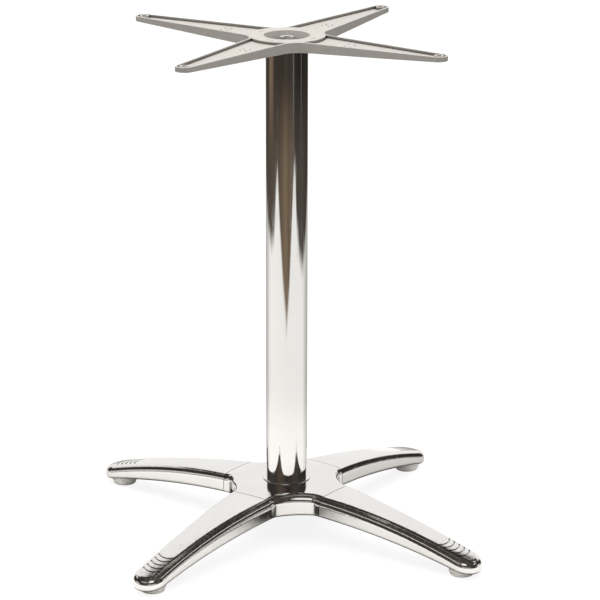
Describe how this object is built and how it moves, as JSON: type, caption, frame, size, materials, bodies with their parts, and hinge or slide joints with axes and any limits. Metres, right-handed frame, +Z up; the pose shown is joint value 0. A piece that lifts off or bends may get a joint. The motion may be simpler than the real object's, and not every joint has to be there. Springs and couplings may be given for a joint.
{
  "type": "four star table base",
  "caption": "Pedestal table base: cast cross on top, round polished column, and a cast hub with bolted star legs on levelling feet.",
  "frame": {"origin": "on the floor, on the axis of the column", "axes": "+Z up along the column, -Y towards the viewer, legs on the diagonals between X and Y"},
  "size_m": [0.491, 0.491, 0.73],
  "materials": {
    "cast_spider": "satin",
    "polished_cast": "polished",
    "polished_tube": "polished",
    "plated_steel": "zinc plated",
    "foot_plastic": "moulded"
  },
  "bodies": {
    "frame": {"spider": "cast_spider", "hub": "polished_cast", "column_tube": "polished_tube", "tie_rod": "plated_steel", "top_washer": "plated_steel", "top_nut": "plated_steel", "bottom_washer": "plated_steel", "bottom_nut": "plated_steel", "leg_front_right": "polished_cast", "leg_screw_front_right_a": "plated_steel", "leg_washer_front_right_a": "plated_steel", "leg_screw_front_right_b": "plated_steel", "leg_washer_front_right_b": "plated_steel", "leg_back_right": "polished_cast", "leg_screw_back_right_a": "plated_steel", "leg_washer_back_right_a": "plated_steel", "leg_screw_back_right_b": "plated_steel", "leg_washer_back_right_b": "plated_steel", "leg_back_left": "polished_cast", "leg_screw_back_left_a": "plated_steel", "leg_washer_back_left_a": "plated_steel", "leg_screw_back_left_b": "plated_steel", "leg_washer_back_left_b": "plated_steel", "leg_front_left": "polished_cast", "leg_screw_front_left_a": "plated_steel", "leg_washer_front_left_a": "plated_steel", "leg_screw_front_left_b": "plated_steel", "leg_washer_front_left_b": "plated_steel"},
    "foot_front_right": {"foot_pad_front_right": "foot_plastic", "foot_stem_front_right": "plated_steel"},
    "foot_back_right": {"foot_pad_back_right": "foot_plastic", "foot_stem_back_right": "plated_steel"},
    "foot_back_left": {"foot_pad_back_left": "foot_plastic", "foot_stem_back_left": "plated_steel"},
    "foot_front_left": {"foot_pad_front_left": "foot_plastic", "foot_stem_front_left": "plated_steel"}
  },
  "joints": [
    {"name": "level_front_right", "type": "slide", "parent": "frame", "child": "foot_front_right", "axis": [0, 0, -1], "range_m": [0, 0.008]},
    {"name": "level_back_right", "type": "slide", "parent": "frame", "child": "foot_back_right", "axis": [0, 0, -1], "range_m": [0, 0.008]},
    {"name": "level_back_left", "type": "slide", "parent": "frame", "child": "foot_back_left", "axis": [0, 0, -1], "range_m": [0, 0.008]},
    {"name": "level_front_left", "type": "slide", "parent": "frame", "child": "foot_front_left", "axis": [0, 0, -1], "range_m": [0, 0.008]}
  ]
}
